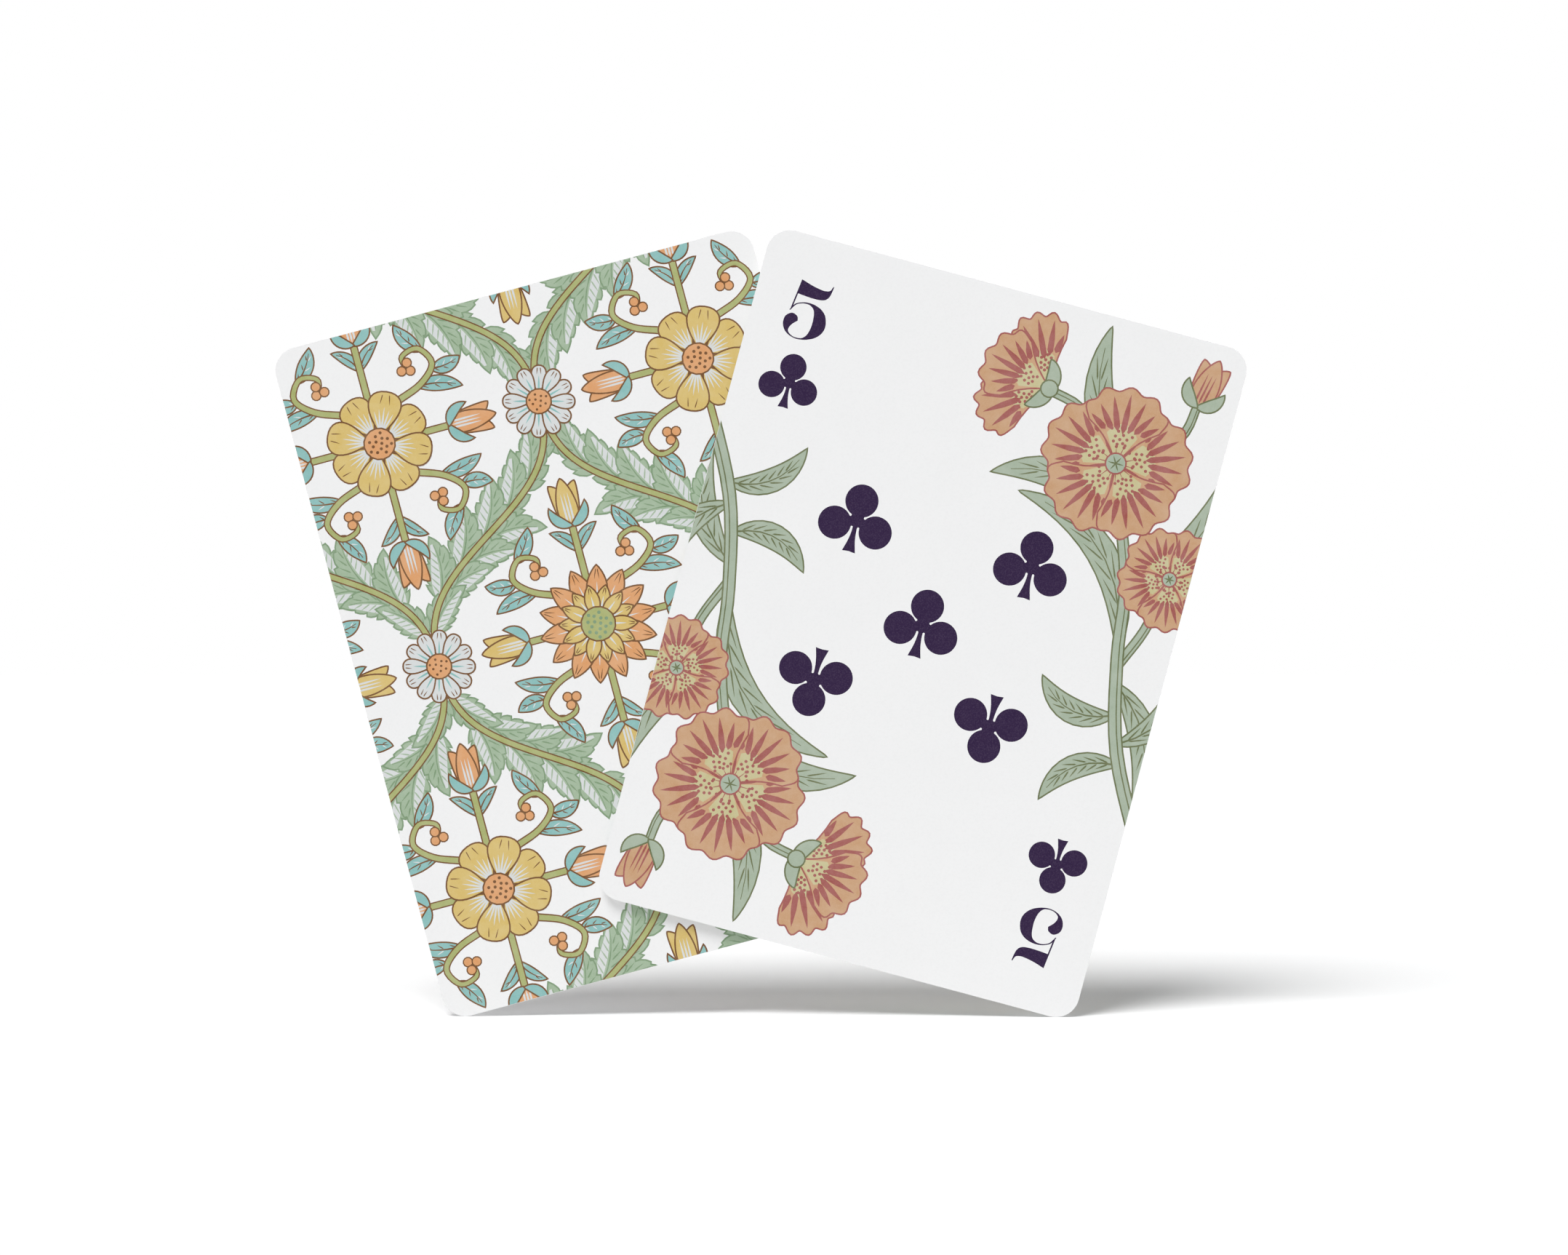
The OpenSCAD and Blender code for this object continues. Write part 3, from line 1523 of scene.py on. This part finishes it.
@dataclass
class Card:
    """One card: a face paper and a back paper on an opaque core, printed on both sides."""

    name: str
    lean_deg: float
    face_facing: Facing
    face_art: Artwork
    back_art: Artwork
    size: CardFormat

    def dress(self) -> None:
        """Give the plies their paper, cut edge and glue."""
        square_on = 0.5
        for ply, flat, edge in (
            ("face_paper", CARD_PAPER, CUT_EDGE),
            ("core", CORE_GLUE, CORE_GLUE),
            ("back_paper", CARD_PAPER, CUT_EDGE),
        ):
            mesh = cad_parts[f"{self.name}_{ply}"].data
            mesh.materials.clear()
            mesh.materials.append(flat.material())
            mesh.materials.append(edge.material())
            for side in mesh.polygons:
                side.material_index = 0 if abs(side.normal.y) > square_on else 1
            log.info("dressed %s_%s", self.name, ply)

    def build(self) -> None:
        """Print both sides."""
        for side, facing, art in (
            ("face", self.face_facing, self.face_art),
            ("back", Facing(-self.face_facing.value), self.back_art),
        ):
            name = f"{self.name}_{side}"
            paper = f"{name}_paper"
            printed = PrintedSide(name, self.name, paper, facing, self.lean_deg, self.size, art)
            for piece in printed.build():
                log.info("printed %s, %d faces", piece.name, len(piece.data.polygons))


@dataclass(frozen=True)
class Lamp:
    """A broad distant light."""

    name: str
    # The way from the cards to the light
    towards: Direction
    strength: float
    # Whether shiny surfaces show it
    gleams: bool
    angle_deg: float = 30.0

    def build(self) -> bpy.types.Object:
        """Add the light.

        Returns:
            The light.
        """
        sun = bpy.data.lights.new(self.name, "SUN")
        sun.energy = self.strength
        sun.angle = math.radians(self.angle_deg)
        lamp = bpy.data.objects.new(self.name, sun)
        lamp.rotation_mode = "QUATERNION"
        lamp.rotation_quaternion = (-Vector(self.towards)).to_track_quat("-Z", "Y")
        lamp.visible_glossy = self.gleams
        bpy.context.scene.collection.objects.link(lamp)
        return lamp


class Lit(Enum):
    """What a lamp lights, as the link state that the floor has for it."""

    FLOOR_ALONE = "INCLUDE"
    ALL_BUT_FLOOR = "EXCLUDE"

    def collection(self, floor: bpy.types.Object) -> bpy.types.Collection:
        """Make the set of things that a lamp lights or that stop its light.

        Args:
            floor: The floor.

        Returns:
            The set.
        """
        things = bpy.data.collections.new(self.name.lower())
        things.objects.link(floor)
        things.collection_objects[0].light_linking.link_state = self.value
        return things


@dataclass(frozen=True)
class Studio:
    """The camera, the pale floor and the soft light round the cards. Lengths are millimetres."""

    view_w: float = 199.6
    distance: float = 420.0
    eye_x: float = 3.0
    eye_z: float = 49.5
    sensor_w: float = 36.0
    clip_near: float = 10.0
    clip_far: float = 50000.0
    floor_half: float = 3000.0
    floor_drop: float = 0.01
    floor_tone: str = "#F0F0F0"
    # What the floor throws back on the cards, so that their lower corners don't wash out
    bounce_tone: str = "#969696"
    floor_glow: float = 0.15
    backdrop_tone: str = "#FFFFFF"
    # A cool sky makes up for the warm light that the prints throw into the shadow
    sky_tone: str = "#F7FBFF"
    sky_strength: float = 0.166
    # The key is weaker on the cards than on the floor, so one card shades the other only lightly
    key_on_floor: Lamp = Lamp("key_on_floor", (-0.3, -0.6, 1.0), 3.2, gleams=True)
    key_on_cards: Lamp = Lamp("key_on_cards", (-0.3, -0.6, 1.0), 2.0, gleams=True)
    # A low board before the cards lights their near sides, and a high one behind them the far sides
    front_board: Lamp = Lamp("front_board", (-0.2, -1.0, -0.15), 1.57, gleams=False)
    rear_board: Lamp = Lamp("rear_board", (0.45, 0.8, 0.6), 3.3, gleams=False)

    def add_camera(self) -> None:
        """Set the camera level with the middle of the cards, looking along Y."""
        camera = bpy.data.cameras.new("camera")
        camera.sensor_width = self.sensor_w
        camera.lens = self.sensor_w * self.distance / self.view_w
        camera.clip_start, camera.clip_end = self.clip_near * MM, self.clip_far * MM
        holder = bpy.data.objects.new("camera", camera)
        holder.location = (self.eye_x * MM, -self.distance * MM, self.eye_z * MM)
        holder.rotation_euler = (math.pi / 2, 0, 0)
        bpy.context.scene.collection.objects.link(holder)
        bpy.context.scene.camera = holder

    def seen_directly(self, tree: bpy.types.NodeTree) -> bpy.types.NodeSocket:
        """A share that is 1 for what the camera sees itself, in a mirror or through glass, else 0.

        Args:
            tree: The tree that the nodes go into.

        Returns:
            The socket with the share.
        """
        path = add_node(tree, "ShaderNodeLightPath").outputs
        either = path["Is Camera Ray"]
        for ray in ("Is Glossy Ray", "Is Transmission Ray"):
            both = {0: either, 1: path[ray]}
            either = add_node(tree, "ShaderNodeMath", {"operation": "MAXIMUM"}, both).outputs[0]
        return either

    def add_sky(self) -> None:
        """Light the cards evenly from all round, with a white background behind them."""
        world = bpy.data.worlds.new("studio")
        bpy.context.scene.world = world
        world.use_nodes = True
        tree = world.node_tree
        tree.nodes.clear()
        light, seen = (
            add_node(tree, "ShaderNodeBackground", inputs={"Color": linear(tone), "Strength": strength})
            for tone, strength in ((self.sky_tone, self.sky_strength), (self.backdrop_tone, 1.0))
        )
        shares = {0: self.seen_directly(tree), 1: light.outputs[0], 2: seen.outputs[0]}
        mix = add_node(tree, "ShaderNodeMixShader", inputs=shares)
        add_node(tree, "ShaderNodeOutputWorld", inputs={"Surface": mix.outputs[0]})

    def floor_paper(self) -> bpy.types.Material:
        """Matt seamless paper: an even white that takes a soft shadow.

        Returns:
            The material.
        """
        made = empty_material("seamless_paper_matt")
        tree = made.node_tree
        seen = self.seen_directly(tree)
        tone = add_node(
            tree,
            "ShaderNodeMix",
            {"data_type": "RGBA"},
            {0: seen, 6: linear(self.bounce_tone), 7: linear(self.floor_tone)},
        )
        paper = add_node(
            tree,
            "ShaderNodeBsdfPrincipled",
            inputs={"Base Color": tone.outputs[2], "Roughness": 1.0, "Specular IOR Level": 0.0},
        )
        factors = {0: seen, 1: self.floor_glow}
        share = add_node(tree, "ShaderNodeMath", {"operation": "MULTIPLY"}, factors)
        glow = add_node(tree, "ShaderNodeEmission", inputs={"Strength": share.outputs[0]})
        both = add_node(tree, "ShaderNodeAddShader", inputs={0: paper.outputs[0], 1: glow.outputs[0]})
        add_node(tree, "ShaderNodeOutputMaterial", inputs={"Surface": both.outputs[0]})
        return made

    def add_floor(self) -> bpy.types.Object:
        """Lay a pale floor that keeps the cards' shadow.

        Returns:
            The floor.
        """
        half, z = self.floor_half * MM, -self.floor_drop * MM
        mesh = bpy.data.meshes.new("floor")
        corners = [(-half, -half, z), (half, -half, z), (half, half, z), (-half, half, z)]
        mesh.from_pydata(corners, [], [(0, 1, 2, 3)])
        mesh.materials.append(self.floor_paper())
        floor = bpy.data.objects.new("floor", mesh)
        bpy.context.scene.collection.objects.link(floor)
        return floor

    def build(self) -> None:
        """Set the stage. Only the key lights the floor, so there is one shadow."""
        self.add_camera()
        self.add_sky()
        floor = self.add_floor()
        all_but_floor = Lit.ALL_BUT_FLOOR.collection(floor)
        on_floor = self.key_on_floor.build().light_linking
        on_floor.receiver_collection = Lit.FLOOR_ALONE.collection(floor)
        for lamp in (self.key_on_cards, self.front_board, self.rear_board):
            linking = lamp.build().light_linking
            linking.receiver_collection = all_but_floor
            linking.blocker_collection = all_but_floor
        log.info("set the studio")


def main() -> None:
    """Build the cards and the studio."""
    logging.basicConfig(level=logging.INFO, format="%(name)s: %(message)s")
    bpy.context.scene.view_settings.view_transform = "Standard"

    size = CardFormat()
    back = TrellisBack(size).artwork()
    sprays = SprayFace().artwork()
    five = PipFace(Suit.CLUBS, Rank.FIVE).artwork().over(sprays)
    three = PipFace(Suit.DIAMONDS, Rank.THREE).artwork().over(sprays)
    for card in (
        Card("front_card", LEAN_DEG, Facing.NEAR, five, back, size),
        Card("rear_card", -LEAN_DEG, Facing.FAR, three, back, size),
    ):
        card.dress()
        card.build()
    Studio().build()


if __name__ == "__main__":
    main()
